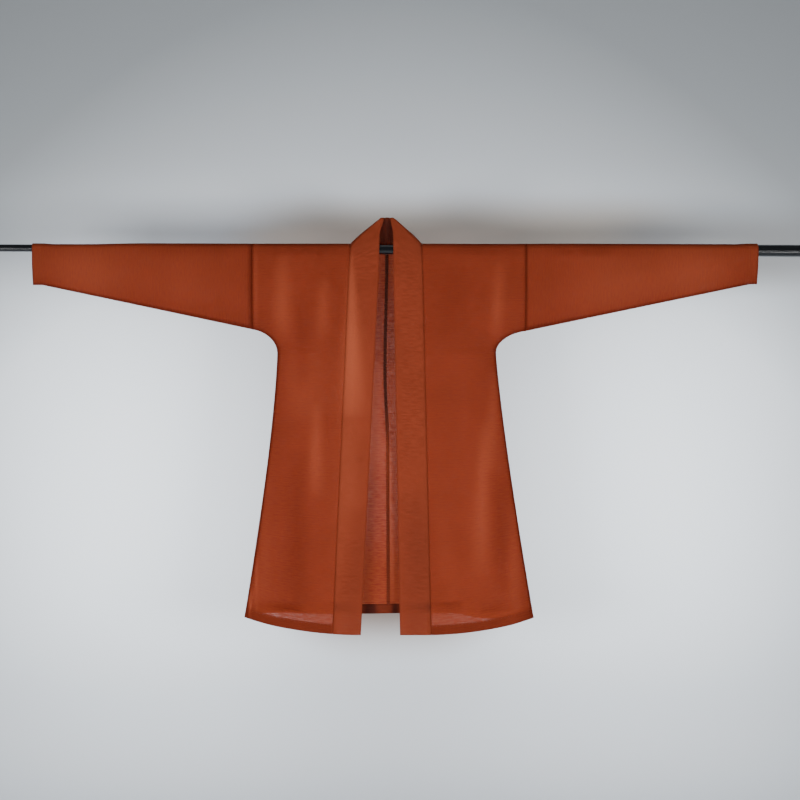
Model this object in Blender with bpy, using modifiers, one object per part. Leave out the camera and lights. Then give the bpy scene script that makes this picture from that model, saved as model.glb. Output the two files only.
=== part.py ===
"""Open-front linen jacket spread flat on a telescopic rod, at real size.

Metres, +Z up. The front faces -Y and the wearer's right is towards -X. The origin is
on the rod's axis at the middle of the jacket, where the rod carries it. Each piece of
cloth is a sheet laid on the surface that it hangs in, then thickened outwards.
"""
import math
from collections import namedtuple

import bmesh
import bpy

# Rod: three telescopic tubes on one axis, which falls a little towards +X, so that the
# tops of the tubes stay nearly level
Tube = namedtuple("Tube", "node start end diameter")
TUBES = [
    Tube("rod_thin", -1.000, -0.595, 0.019),
    Tube("rod_middle", -0.595, 0.492, 0.025),
    Tube("rod_thick", 0.492, 1.060, 0.031),
]
ROD_FALL = 0.0037           # drop of the axis for each metre along X, in metres
TUBE_SIDES = 32
PLUG_LENGTH = 0.012
PLUG_LIP = 0.0015           # how far a plug stands out past its tube
PLUG_ROUND = 0.001

# Cloth
CLOTH = 0.0012              # wall of one layer
BAND_CLOTH = 0.0024         # wall of the collar band, two layers
SEAM = 0.0003               # gap between pieces
SADDLE = 0.0005             # gap between the rod and the cloth over it
STEP_EASE = 0.030           # the cloth ramps over a step of the rod in this length
STEP_MARGIN = 0.003
CUFF_EASE = 0.010           # and widens for the turned-in cuff in this length
MERGE = 0.00001

# Cut of each half, in metres out from x = 0. Heights are z, below the rod's axis.
Side = namedtuple(
    "Side", "name sign armhole armpit armpit_in hem_side hem_side_z hem_low_x hem_low_z "
            "neck seam_hem free_neck free_hem cuff cuff_low cuff_flat")
SIDES = {
    "right": Side("right", -1, 0.340, -0.196, 0.0625, 0.3585, -0.9210, 0.0675, -0.9630,
                  0.095, 0.1375, 0.0200, 0.0675, 0.8875, -0.0870, 0.042),
    "left": Side("left", 1, 0.345, -0.196, 0.0725, 0.3640, -0.9225, 0.0925, -0.9630,
                 0.085, 0.1075, 0.0125, 0.0300, 0.9225, -0.0870, 0.022),
}
ARMPIT_DROP = 0.0625        # height of the curve under each arm

# Lower edge of the back, which hangs about 50 mm shorter than the front
HemStation = namedtuple("HemStation", "x z")
BACK_HEM = [
    HemStation(-0.3585, -0.9210),
    HemStation(-0.3150, -0.9125),
    HemStation(-0.1430, -0.9155),
    HemStation(0.1500, -0.9130),
    HemStation(0.2500, -0.9275),
    HemStation(0.3640, -0.9225),
]
BACK_LOW = -0.9150
HEM_TURN = 0.024            # height of the turned-up hems
CUFF_TURN = 0.024
HEM_EASE_TOP = -0.350       # rows are level above this, and follow the hem below it

# Line of the centre-back seam, which drifts as the cloth hangs
SeamStation = namedtuple("SeamStation", "x z")
CENTRE_BACK = [
    SeamStation(-0.0030, 0.010),
    SeamStation(-0.0078, -0.310),
    SeamStation(-0.0010, -0.500),
    SeamStation(0.0005, -0.930),
]
CENTRE_SEAM_WIDTH = 0.008
CENTRE_SEAM_TOP = -0.012

# Depth of the hanging cloth, measured from the plane of the rod's axis
HANG_SPREAD = 0.005         # the cloth stands this much further out at the hem
BODY_TAPER = 0.100          # width in which front and back draw together at a side
SLEEVE_TAPER = 0.85         # the same in a sleeve, as a share of its height
SLEEVE_FOOT = 0.0008        # half width of a sleeve's lower edge, inside
CUFF_INSET = 0.0005         # gap between a sleeve and its turned-in cuff
CUFF_FOOT = 0.0022          # half width of a turned-in cuff's lower edge
CUFF_FOOT_RISE = 0.0090

# Largest folds: soft ridges (rise over 0) and troughs, along a line from top to low
Fold = namedtuple("Fold", "face x_top z_top x_low z_low width rise")
FOLDS = [
    Fold("front", -0.262, -0.030, -0.268, -0.330, 0.026, 0.0035),
    Fold("front", -0.215, -0.040, -0.232, -0.420, 0.030, -0.0030),
    Fold("front", -0.158, -0.060, -0.165, -0.330, 0.022, 0.0025),
    Fold("front", -0.178, -0.380, -0.182, -0.640, 0.024, 0.0035),
    Fold("front", -0.285, -0.450, -0.300, -0.990, 0.030, 0.0045),
    Fold("front", -0.232, -0.480, -0.236, -0.930, 0.028, -0.0050),
    Fold("front", -0.085, -0.080, -0.088, -0.640, 0.030, 0.0045),
    Fold("front", 0.278, -0.040, 0.270, -0.260, 0.018, 0.0030),
    Fold("front", 0.268, -0.280, 0.262, -0.560, 0.022, 0.0035),
    Fold("front", 0.240, -0.420, 0.236, -0.820, 0.024, 0.0040),
    Fold("front", 0.275, -0.560, 0.282, -0.850, 0.022, -0.0040),
    Fold("front", 0.306, -0.640, 0.316, -0.980, 0.022, 0.0040),
    Fold("front", 0.150, -0.300, 0.155, -0.900, 0.034, -0.0025),
    Fold("front", -0.540, -0.030, -0.535, -0.190, 0.030, -0.0020),
    Fold("front", 0.560, -0.030, 0.545, -0.190, 0.050, 0.0025),
    Fold("back", -0.250, -0.060, -0.240, -0.560, 0.030, 0.0035),
    Fold("back", -0.175, -0.180, -0.190, -0.800, 0.032, -0.0035),
    Fold("back", -0.110, -0.420, -0.125, -0.990, 0.032, 0.0040),
    Fold("back", 0.110, -0.120, 0.120, -0.620, 0.034, -0.0030),
    Fold("back", 0.185, -0.300, 0.200, -0.990, 0.034, 0.0045),
    Fold("back", 0.262, -0.080, 0.255, -0.480, 0.026, 0.0030),
    Fold("back", 0.275, -0.520, 0.292, -0.940, 0.028, -0.0040),
    Fold("back", -0.560, -0.030, -0.570, -0.180, 0.040, 0.0020),
    Fold("back", 0.600, -0.030, 0.610, -0.180, 0.040, -0.0020),
]
FOLD_EASE = 0.050           # folds start this far below the rod

# Stations of the sheets. Columns run across the cloth, 0 at the outer edge and 1 at
# the band's seam, then on to 2 at the centre back. Rows run from hem to hem.
BODY_COLUMNS = [0.0, 0.03, 0.08, 0.15, 0.23, 0.32, 0.41, 0.50, 0.60, 0.70, 0.80, 0.90, 1.0]
BACK_COLUMNS = [1.33, 1.67, 2.0]
UPPER_LEVELS = [-0.030, -0.070, -0.115, -0.160, -0.196]
ARMPIT_LEVELS = [-0.200, -0.210, -0.228, -0.2585]
LOWER_LEVELS = [-0.300, -0.350, -0.410, -0.470, -0.530, -0.590, -0.650, -0.710, -0.770,
                -0.830, -0.885]
OVER_ROD = [math.radians(18 * step) for step in range(11)]
NECK_ANGLE = OVER_ROD[9]    # the back neck seam lies this far round the rod
BAND_ANGLE = math.radians(159.5)
SLEEVE_FRACTIONS = [0.0, 0.10, 0.22, 0.36, 0.52, 0.75]
SLEEVE_STATIONS = [0.0, 0.11, 0.22, 0.33, 0.44, 0.62, 0.73, 0.84]

# Collar band
BAND_COLUMNS = [0.0, 0.25, 0.5, 0.75, 1.0]
BAND_TURN = -0.060          # the band starts to lean over towards the neck here
BAND_TOP = 0.0770           # top of the band, at its folded corners and behind the neck
BAND_FOLD = 0.004           # inner radius of the fold at the free edge
BAND_UPRIGHT = 0.25         # share of its rise in which the band stands upright
BAND_NECK_GAP = 0.0015      # its slanted wall clears the shoulder's edge by this at the fold
TURN_STEPS = [0.2, 0.4, 0.6, 0.8]
NECK_STEPS = [step / 9 for step in range(1, 9)]

# Finishes: sRGB colour, roughness, metallic
Finish = namedtuple("Finish", "name red green blue roughness metallic")
LINEN = Finish("rust_linen", 150, 60, 36, 0.85, 0.0)
BLACK_LACQUER = Finish("black_lacquered_tube", 10, 13, 17, 0.18, 0.0)
BLACK_PLASTIC = Finish("black_moulded_plug", 18, 19, 21, 0.45, 0.0)


def lerp(start, end, share):
    return start + (end - start) * share


def ease(share):
    """0 to 1 with a soft start and end."""
    share = min(1.0, max(0.0, share))
    return share * share * (3 - 2 * share)


def along_stations(stations, key, value):
    """Read a short table of (x, z) rows at a place, easing between its rows."""
    rows = sorted(stations, key=lambda row: getattr(row, key))
    other = "z" if key == "x" else "x"
    if value <= getattr(rows[0], key):
        return getattr(rows[0], other)
    for before, after in zip(rows, rows[1:]):
        low, high = getattr(before, key), getattr(after, key)
        if value <= high:
            share = ease((value - low) / (high - low))
            return lerp(getattr(before, other), getattr(after, other), share)
    return getattr(rows[-1], other)


def axis_z(x):
    return -ROD_FALL * x


def saddle_radius(x):
    """Inner radius of the cloth over the rod, with ramps at the rod's steps and cuffs."""
    radius = TUBES[0].diameter / 2 + SADDLE
    for thinner, thicker in zip(TUBES, TUBES[1:]):
        climb = (x - thicker.start + STEP_MARGIN + STEP_EASE) / STEP_EASE
        radius += (thicker.diameter - thinner.diameter) / 2 * ease(climb)
    side = SIDES["right"] if x < 0 else SIDES["left"]
    near_cuff = (abs(x) - side.cuff + CUFF_TURN + CUFF_EASE) / CUFF_EASE
    return radius + (CLOTH + CUFF_INSET) * ease(near_cuff)


def over_rod(x, angle, inset=0.0):
    """A point of the cloth over the rod: angle 0 is the front, 180 degrees the back."""
    radius = saddle_radius(x) - inset
    return (x, -radius * math.cos(angle), axis_z(x) + radius * math.sin(angle))


def sleeve_low(side, out):
    """Height of a sleeve's lower edge: straight, with a short level stretch at the cuff."""
    level_from = side.cuff - side.cuff_flat
    return lerp(side.armpit, side.cuff_low,
                min(1.0, (out - side.armhole) / (level_from - side.armhole)))


def outline(side, z):
    """How far out the body reaches: armhole seam, curve under the arm, flared side."""
    curve_low = side.armpit - ARMPIT_DROP
    if z >= side.armpit:
        return side.armhole - SEAM / 2
    if z >= curve_low:
        rise = (z - curve_low) / ARMPIT_DROP
        return side.armhole - SEAM / 2 - side.armpit_in * math.sqrt(1 - rise * rise)
    share = (curve_low - z) / (curve_low - side.hem_side_z)
    return lerp(side.armhole - SEAM / 2 - side.armpit_in, side.hem_side, share)


def edge_distance(side, out, z):
    """Distance from a point of the cloth to the edge where front and back meet."""
    curve_low = side.armpit - ARMPIT_DROP
    if z <= curve_low:
        return outline(side, z) - out
    if out >= side.armhole:
        return z - sleeve_low(side, out)
    across = (side.armhole - out) / side.armpit_in
    up = (z - curve_low) / ARMPIT_DROP
    scale = (across * side.armpit_in + up * ARMPIT_DROP) / (across + up)
    return (math.hypot(across, up) - 1) * scale


def fold_relief(face, x, z):
    """Height of the folds over the plain hanging cloth."""
    total = 0.0
    for fold in FOLDS:
        share = (fold.z_top - z) / (fold.z_top - fold.z_low)
        if fold.face == face and 0 < share < 1:
            centre = lerp(fold.x_top, fold.x_low, share)
            across = math.exp(-((x - centre) / fold.width) ** 2)
            total += fold.rise * across * math.sin(math.pi * share) ** 0.6
    return total * ease((axis_z(x) - z) / FOLD_EASE)


def half_depth(face, side, out, z, foot=SEAM / 2):
    """Distance of the cloth's inner face from the plane of the rod's axis."""
    x = side.sign * out
    sleeve_taper = -SLEEVE_TAPER * sleeve_low(side, max(out, side.armhole))
    taper = BODY_TAPER if z < side.armpit else min(BODY_TAPER, sleeve_taper)
    nearness = min(1.0, max(0.0, edge_distance(side, out, z)) / taper)
    fullness = math.sin(math.pi / 2 * nearness)
    hang = HANG_SPREAD * ease(z / side.hem_low_z)
    return foot + (saddle_radius(x) - foot + hang + fold_relief(face, x, z)) * fullness


def front_hem_z(side, out):
    """Lower edge of the front, a shallow curve that rises to the side seam."""
    share = max(0.0, (out - side.hem_low_x) / (side.hem_side - side.hem_low_x))
    return lerp(side.hem_low_z, side.hem_side_z, share * share)


def hem_height(face, side, out, level):
    """Turns a level row into one that follows the hem, more so the lower it lies."""
    if face == "front":
        low, hem = side.hem_low_z, front_hem_z(side, out)
    else:
        low, hem = BACK_LOW, along_stations(BACK_HEM, "x", side.sign * out)
    return level + (hem - low) * ease((HEM_EASE_TOP - level) / (HEM_EASE_TOP - low))


def seam_line(side, z):
    """Seam of the collar band on the front."""
    return lerp(side.neck, side.seam_hem, min(1.0, max(0.0, z / side.hem_low_z)))


def free_line(side, z):
    """Free edge of the collar band."""
    return lerp(side.free_neck, side.free_hem, min(1.0, max(0.0, z / side.hem_low_z)))


def body_out(face, side, column, level):
    """How far out a column of the body lies at a level."""
    edge = outline(side, hem_height(face, side, side.hem_side, level))
    if face == "front":
        return lerp(edge, seam_line(side, level) + SEAM / 2, column)
    if column <= 1:
        return lerp(edge, side.neck, column)
    centre = side.sign * along_stations(CENTRE_BACK, "z", level) + SEAM / 2
    return lerp(side.neck, centre, column - 1)


def body_point(side, column, row, inset=0.0):
    """A point of half the body. A row is a face and a level, or an angle over the rod."""
    part, value = row
    if part == "over":
        if column > 1 and value < NECK_ANGLE - MERGE:
            return None
        inner = side.neck + SEAM / 2
        out = lerp(side.armhole - SEAM / 2, inner, min(column, 1.0))
        if column > 1:
            out = body_out("back", side, column, 0.0)
        return over_rod(side.sign * out, value, inset)
    if part == "front" and column > 1:
        return None
    out = body_out(part, side, column, value)
    z = hem_height(part, side, out, value)
    depth = half_depth(part, side, out, z) - inset
    return (side.sign * out, -depth if part == "front" else depth, z)


def finish_material(finish):
    """Principled material in the finish's colour."""
    material = bpy.data.materials.get(finish.name)
    if material is None:
        material = bpy.data.materials.new(finish.name)
        material.use_nodes = True
        shader = material.node_tree.nodes["Principled BSDF"]
        linear = [((value / 255 + 0.055) / 1.055) ** 2.4 if value > 10 else value / 255 / 12.92
                  for value in (finish.red, finish.green, finish.blue)]
        shader.inputs["Base Color"].default_value = (*linear, 1.0)
        shader.inputs["Roughness"].default_value = finish.roughness
        shader.inputs["Metallic"].default_value = finish.metallic
        material.diffuse_color = (*linear, 1.0)
    return material


def cloth_sheet(name, columns, rows, place, wall, inwards=False):
    """A wall of cloth: a grid whose points are moved onto its surface, then thickened."""
    mesh = bpy.data.meshes.new(name)
    bm = bmesh.new()
    bmesh.ops.create_grid(bm, x_segments=len(columns) - 1, y_segments=len(rows) - 1, size=0.5)
    bm.verts.ensure_lookup_table()
    unused = []
    for index, vert in enumerate(bm.verts):
        point = place(columns[index % len(columns)], rows[index // len(columns)])
        if point is None:
            unused.append(vert)
        else:
            vert.co = point
    bmesh.ops.delete(bm, geom=unused, context="VERTS")
    bmesh.ops.remove_doubles(bm, verts=bm.verts, dist=MERGE)
    bm.to_mesh(mesh)
    bm.free()
    mesh.shade_smooth()
    mesh.materials.append(finish_material(LINEN))
    piece = bpy.data.objects.new(name, mesh)
    jacket.objects.link(piece)
    thicken = piece.modifiers.new("cloth", "SOLIDIFY")
    thicken.thickness = wall
    thicken.offset = -1.0 if inwards else 1.0
    thicken.use_even_offset = True
    thicken.use_quality_normals = True
    return piece


def body_rows(side):
    """Rows of half the body, from the front hem over the rod to the back hem."""
    upper = UPPER_LEVELS + ARMPIT_LEVELS + LOWER_LEVELS
    front = upper + [side.hem_low_z + HEM_TURN, side.hem_low_z]
    back = upper[:-1] + [BACK_LOW + HEM_TURN, BACK_LOW]
    rows = [("front", level) for level in reversed(front)]
    rows += [("over", angle) for angle in OVER_ROD]
    return rows + [("back", level) for level in back]


def outwards(side, columns):
    """Columns in the order of growing x, so that every sheet faces outwards."""
    return columns if side.sign < 0 else columns[::-1]


def build_body(side):
    """Half the body, front and back cut in one over the shoulder."""
    columns = outwards(side, BODY_COLUMNS + BACK_COLUMNS)
    return cloth_sheet("body_" + side.name, columns, body_rows(side),
                       lambda column, row: body_point(side, column, row), CLOTH)


def sleeve_section(side, out, inset, foot, foot_rise):
    """Rows round a sleeve at one place, from its foot up the front and down the back."""
    x = side.sign * out
    base = sleeve_low(side, out) + SLEEVE_FOOT + CLOTH + foot_rise
    half = {}
    for face in ("front", "back"):
        half[face] = []
        for fraction in SLEEVE_FRACTIONS:
            z = lerp(base, axis_z(x), fraction)
            depth = half_depth(face, side, out, z, SLEEVE_FOOT) - inset
            half[face].append((max(depth, foot), z))
    section = [(x, 0.0, base - foot)]
    section += [(x, -depth, z) for depth, z in half["front"]]
    section += [over_rod(x, angle, inset) for angle in OVER_ROD]
    section += [(x, depth, z) for depth, z in reversed(half["back"])]
    return section + [section[0]]


def build_tube(name, side, stations, wall, inset=0.0, foot=SLEEVE_FOOT, foot_rise=0.0,
               inwards=False):
    """A closed tube of cloth through the sections of a sleeve."""
    sections = {out: sleeve_section(side, out, inset, foot, foot_rise) for out in stations}
    rows = list(range(len(sections[stations[0]])))
    return cloth_sheet(name, outwards(side, sorted(stations, reverse=True)), rows,
                       lambda out, row: sections[out][row], wall, inwards)


def build_sleeve(side):
    """A sleeve from the armhole seam to the cuff, with stations at the rod's step."""
    root = side.armhole + SEAM / 2
    plain = side.cuff - CUFF_TURN - CUFF_EASE
    stations = [lerp(root, plain, share) for share in SLEEVE_STATIONS]
    for tube in TUBES[1:]:
        for place in (tube.start - STEP_MARGIN, tube.start - STEP_MARGIN - STEP_EASE):
            if place * side.sign > side.armhole:
                stations = [out for out in stations if abs(out - place * side.sign) > 0.012]
                stations.append(place * side.sign)
    stations += [plain, side.cuff - CUFF_TURN, side.cuff]
    return build_tube("sleeve_" + side.name, side, stations, CLOTH)


def build_cuff_hem(side):
    """The turned-in end of a sleeve, a ring that lies inside it."""
    return build_tube("cuff_hem_" + side.name, side, [side.cuff - CUFF_TURN, side.cuff],
                      CLOTH, CUFF_INSET, CUFF_FOOT, CUFF_FOOT_RISE, inwards=True)


def build_front_hem(side):
    """The turned-up hem of one front, from near the side seam to the band's seam."""
    columns = BODY_COLUMNS[1:]
    rows = [("front", side.hem_low_z), ("front", side.hem_low_z + HEM_TURN)]
    return cloth_sheet("front_hem_" + side.name, outwards(side, columns), rows,
                       lambda column, row: body_point(side, column, row, SEAM), CLOTH, True)


def build_back_hem():
    """The turned-up hem of the back, in one length across the centre-back seam."""
    shares = BODY_COLUMNS[1:] + BACK_COLUMNS
    columns = [(SIDES["right"], share) for share in shares[:-1]]
    columns += [(SIDES["left"], share) for share in reversed(shares)]
    rows = [("back", BACK_LOW + HEM_TURN), ("back", BACK_LOW)]
    return cloth_sheet("back_hem", columns, rows,
                       lambda column, row: body_point(*column, row, SEAM), CLOTH, True)


def build_centre_back_seam():
    """The felled allowance of the centre-back seam, a strip down the inside."""
    low = BACK_LOW + HEM_TURN + SEAM
    levels = [CENTRE_SEAM_TOP] + UPPER_LEVELS + ARMPIT_LEVELS + LOWER_LEVELS[:-1] + [low]
    side = SIDES["left"]

    def place(offset, level):
        out = along_stations(CENTRE_BACK, "z", level) + offset
        z = hem_height("back", side, out, level)
        return (out, half_depth("back", side, out, z) - SEAM, z)

    edges = [CENTRE_SEAM_WIDTH / 2, -CENTRE_SEAM_WIDTH / 2]
    return cloth_sheet("centre_back_seam", edges, levels[::-1], place, CLOTH, True)


def band_front_row(side, level):
    """Points across the band at a level of the front."""
    row = []
    for column in BAND_COLUMNS:
        out = lerp(seam_line(side, level) - SEAM / 2, free_line(side, level), column)
        z = hem_height("front", side, out, level)
        row.append((side.sign * out, -half_depth("front", side, out, z), z))
    return row


def lean(rise):
    """How far the band has leant over at a share of its rise above the rod's axis."""
    return max(0.0, (rise - BAND_UPRIGHT) / (1 - BAND_UPRIGHT))


def band_half(side):
    """Rows of the band from one hem up the front and over its fold at the neck."""
    levels = [side.hem_low_z] + LOWER_LEVELS[::-1] + ARMPIT_LEVELS[::-1] + [-0.115, BAND_TURN]
    rows = [band_front_row(side, level) for level in levels]
    seam_low = seam_line(side, BAND_TURN) - SEAM / 2
    seam_top = side.neck - BAND_NECK_GAP
    free_low = free_line(side, BAND_TURN)
    radius, seat = saddle_radius(side.sign * seam_top), axis_z(side.sign * seam_top)
    fold_z = BAND_TOP - BAND_CLOTH - BAND_FOLD
    for step in TURN_STEPS:
        seam_z, free_z = lerp(BAND_TURN, seat, step), lerp(BAND_TURN, fold_z, step)
        row = []
        for column in BAND_COLUMNS:
            out = lerp(lerp(seam_low, seam_top, step), lerp(free_low, side.free_neck, step), column)
            z = lerp(seam_z, free_z, column)
            depth = lerp(radius, BAND_FOLD, lean((z - seat) / (fold_z - seat)))
            row.append((side.sign * out, -depth, z))
        rows.append(row)
    for angle in OVER_ROD:
        row = []
        for column in BAND_COLUMNS:
            turn = angle * lerp(BAND_ANGLE / math.pi, 1.0, column)
            reach = lerp(radius, BAND_FOLD, lean(column))
            row.append((side.sign * lerp(seam_top, side.free_neck, column),
                        -reach * math.cos(turn),
                        lerp(seat, fold_z, column) + reach * math.sin(turn)))
        rows.append(row)
    return rows


def band_neck_row(step):
    """Points up the band behind the neck, a share of the way from right to left."""
    right, left = SIDES["right"], SIDES["left"]
    seam_x = lerp(BAND_NECK_GAP - right.neck, left.neck - BAND_NECK_GAP, step)
    free_x = lerp(-right.free_neck, left.free_neck, step)
    _, seam_y, seam_z = over_rod(seam_x, BAND_ANGLE)
    free_z = lerp(BAND_TOP - BAND_CLOTH - BAND_FOLD, BAND_TOP, math.sin(math.pi * step) ** 0.4)
    return [(lerp(seam_x, free_x, column), lerp(seam_y, BAND_FOLD, lean(column)),
             lerp(seam_z, free_z, column)) for column in BAND_COLUMNS]


def build_collar_band():
    """The collar band, a straight doubled strip from hem to hem round the neck."""
    rows = band_half(SIDES["right"]) + [band_neck_row(step) for step in NECK_STEPS]
    rows += band_half(SIDES["left"])[::-1]
    columns = list(range(len(BAND_COLUMNS)))
    return cloth_sheet("collar_band", columns, rows, lambda column, row: row[column],
                       BAND_CLOTH)


def rod_cylinder(name, start, end, diameter, finish):
    """A round bar along the rod's axis, from one x to another."""
    middle = (start + end) / 2
    bpy.ops.mesh.primitive_cylinder_add(
        vertices=TUBE_SIDES, radius=diameter / 2, depth=end - start,
        location=(middle, 0, axis_z(middle)),
        rotation=(0, math.pi / 2 + math.atan(ROD_FALL), 0))
    bar = bpy.context.object
    bar.name = bar.data.name = name
    for collection in list(bar.users_collection):
        collection.objects.unlink(bar)
    jacket.objects.link(bar)
    bar.data.materials.append(finish_material(finish))
    bar.data.shade_smooth()
    bar.data.set_sharp_from_angle(angle=math.radians(40))
    return bar


def build_rod():
    """Three tubes that stand in each other, drawn butted, and a plug in each end."""
    for tube in TUBES:
        rod_cylinder(tube.node, tube.start + SEAM / 2, tube.end - SEAM / 2, tube.diameter,
                     BLACK_LACQUER)
    thin, thick = TUBES[0], TUBES[-1]
    plugs = [
        rod_cylinder("plug_thin", thin.start - PLUG_LENGTH, thin.start - SEAM / 2,
                     thin.diameter + 2 * PLUG_LIP, BLACK_PLASTIC),
        rod_cylinder("plug_thick", thick.end + SEAM / 2, thick.end + PLUG_LENGTH,
                     thick.diameter + 2 * PLUG_LIP, BLACK_PLASTIC),
    ]
    for plug in plugs:
        rounding = plug.modifiers.new("rounded_rim", "BEVEL")
        rounding.width = PLUG_ROUND
        rounding.segments = 2
        rounding.limit_method = "ANGLE"


for old in list(bpy.data.objects):
    bpy.data.objects.remove(old, do_unlink=True)
jacket = bpy.data.collections.new("open_front_jacket")
bpy.context.scene.collection.children.link(jacket)

build_rod()
for half in SIDES.values():
    build_body(half)
    build_sleeve(half)
    build_front_hem(half)
    build_cuff_hem(half)
build_back_hem()
build_centre_back_seam()
build_collar_band()
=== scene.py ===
"""Open-front linen jacket, spread flat on a telescopic rod.

Metres, +Z up. The front faces -Y, the wearer's right is towards -X, and the origin is on
the rod's axis at the middle of the jacket. The sections follow the order in which the set
is put together: rod, body, sleeves, hems, seams, collar band, stitching, then the studio.
"""
import math
from collections import namedtuple

import bmesh
import bpy
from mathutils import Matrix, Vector


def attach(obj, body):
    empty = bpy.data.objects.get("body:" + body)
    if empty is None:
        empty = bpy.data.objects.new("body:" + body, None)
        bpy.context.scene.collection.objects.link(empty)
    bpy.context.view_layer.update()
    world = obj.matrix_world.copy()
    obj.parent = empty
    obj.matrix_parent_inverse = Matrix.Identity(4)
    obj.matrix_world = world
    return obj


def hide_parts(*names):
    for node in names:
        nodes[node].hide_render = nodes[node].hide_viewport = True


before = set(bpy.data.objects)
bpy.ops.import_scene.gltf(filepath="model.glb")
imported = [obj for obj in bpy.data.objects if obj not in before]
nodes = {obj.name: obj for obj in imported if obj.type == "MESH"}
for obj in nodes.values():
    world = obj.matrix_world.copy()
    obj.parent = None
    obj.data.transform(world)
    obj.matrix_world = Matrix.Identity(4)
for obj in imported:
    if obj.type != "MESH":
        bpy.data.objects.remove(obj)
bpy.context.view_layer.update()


# Telescopic rod: three tubes of thin steel that slide into each other, stoved gloss
# black. The lacquer is smooth with a faint orange peel, so it throws long clear
# highlights, and fine lengthwise rubs show where the tubes have been drawn.
Tube = namedtuple("Tube", "node start end diameter")
TUBES = [
    Tube("rod_thin", -1.000, -0.595, 0.019),
    Tube("rod_middle", -0.595, 0.492, 0.025),
    Tube("rod_thick", 0.492, 1.060, 0.031),
]
ROD_FALL = 0.0037           # drop of the axis for each metre along X
LACQUER_BLACK = "06080b"
LACQUER_WORN = "23282c"
ORANGE_PEEL = 0.004         # width of one dimple of the lacquer
RUB_LENGTH = 0.120          # length and width of a rub left by drawing the tubes
RUB_WIDTH = 0.0015


def linear(colour):
    """An sRGB hex colour as linear RGBA."""
    values = [int(colour[at:at + 2], 16) / 255 for at in (0, 2, 4)]
    return [v / 12.92 if v < 0.04045 else ((v + 0.055) / 1.055) ** 2.4 for v in values] + [1.0]


def blank_material(name):
    """A new material and its empty node tree."""
    material = bpy.data.materials.new(name)
    material.use_nodes = True
    material.node_tree.nodes.clear()
    return material, material.node_tree


def add_node(tree, kind, inputs, **settings):
    """Add a shader node with its settings. An input is a value or the socket that feeds it."""
    node = tree.nodes.new("ShaderNode" + kind)
    for name, value in settings.items():
        setattr(node, name, value)
    for key, value in inputs.items():
        if isinstance(value, bpy.types.NodeSocket):
            tree.links.new(value, node.inputs[key])
        else:
            node.inputs[key].default_value = value
    return node


def mixed(tree, share, start, end):
    """The socket of a colour between two others."""
    return add_node(tree, "Mix", {0: share, 6: start, 7: end}, data_type="RGBA").outputs[2]


def ramp(tree, value, low, high, to_low=0.0, to_high=1.0):
    """The socket of a value that runs between two limits as another does between its own."""
    return add_node(tree, "MapRange", {
        "Value": value, "From Min": low, "From Max": high,
        "To Min": to_low, "To Max": to_high}).outputs[0]


def lacquered_steel():
    """Gloss black stoving lacquer on drawn steel tube."""
    material, tree = blank_material("gloss_black_lacquered_steel")
    place = add_node(tree, "TexCoord", {}).outputs["Object"]
    peel = add_node(tree, "TexNoise", {"Vector": place, "Scale": 1 / ORANGE_PEEL, "Detail": 1.0})
    along = add_node(tree, "Mapping", {
        "Vector": place, "Scale": (1 / RUB_LENGTH, 1 / RUB_WIDTH, 1 / RUB_WIDTH)})
    rubs = add_node(tree, "TexNoise", {"Vector": along.outputs[0], "Scale": 1.0, "Detail": 3.0})
    worn = ramp(tree, rubs.outputs["Fac"], 0.60, 0.80)
    colour = mixed(tree, worn, linear(LACQUER_BLACK), linear(LACQUER_WORN))
    rough = ramp(tree, rubs.outputs["Fac"], 0.3, 0.8, 0.10, 0.22)
    dimples = add_node(tree, "Bump", {
        "Height": peel.outputs["Fac"], "Strength": 0.25, "Distance": 0.0001})
    shader = add_node(tree, "BsdfPrincipled", {
        "Base Color": colour, "Roughness": rough,
        "Normal": dimples.outputs[0], "Metallic": 0.0, "IOR": 1.5,
        "Coat Weight": 0.6, "Coat Roughness": 0.06})
    add_node(tree, "OutputMaterial", {"Surface": shader.outputs[0]})
    return material


lacquer = lacquered_steel()
for tube in TUBES:
    nodes[tube.node].data.materials.clear()
    nodes[tube.node].data.materials.append(lacquer)


# Plug in each end of the rod: polypropylene, moulded black in a fine spark-eroded tool,
# so its skin is evenly satin with a grain that only breaks up the highlight.
PLUG_BLACK = "141517"
PLUG_GREY = "1d1f21"
SPARK_GRAIN = 0.0006        # a grain of 0.1 mm drawn coarser, so that it can show


def moulded_plastic():
    """Satin black moulded polypropylene."""
    material, tree = blank_material("satin_black_moulded_polypropylene")
    place = add_node(tree, "TexCoord", {}).outputs["Object"]
    grain = add_node(tree, "TexNoise", {"Vector": place, "Scale": 1 / SPARK_GRAIN, "Detail": 2.0})
    colour = mixed(tree, grain.outputs["Fac"], linear(PLUG_BLACK), linear(PLUG_GREY))
    rough = ramp(tree, grain.outputs["Fac"], 0.0, 1.0, 0.40, 0.60)
    skin = add_node(tree, "Bump", {
        "Height": grain.outputs["Fac"], "Strength": 0.4, "Distance": 0.00005})
    shader = add_node(tree, "BsdfPrincipled", {
        "Base Color": colour, "Roughness": rough, "Normal": skin.outputs[0], "IOR": 1.49})
    add_node(tree, "OutputMaterial", {"Surface": shader.outputs[0]})
    return material


plastic = moulded_plastic()
for name in ("plug_thin", "plug_thick"):
    nodes[name].data.materials.clear()
    nodes[name].data.materials.append(plastic)


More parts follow.
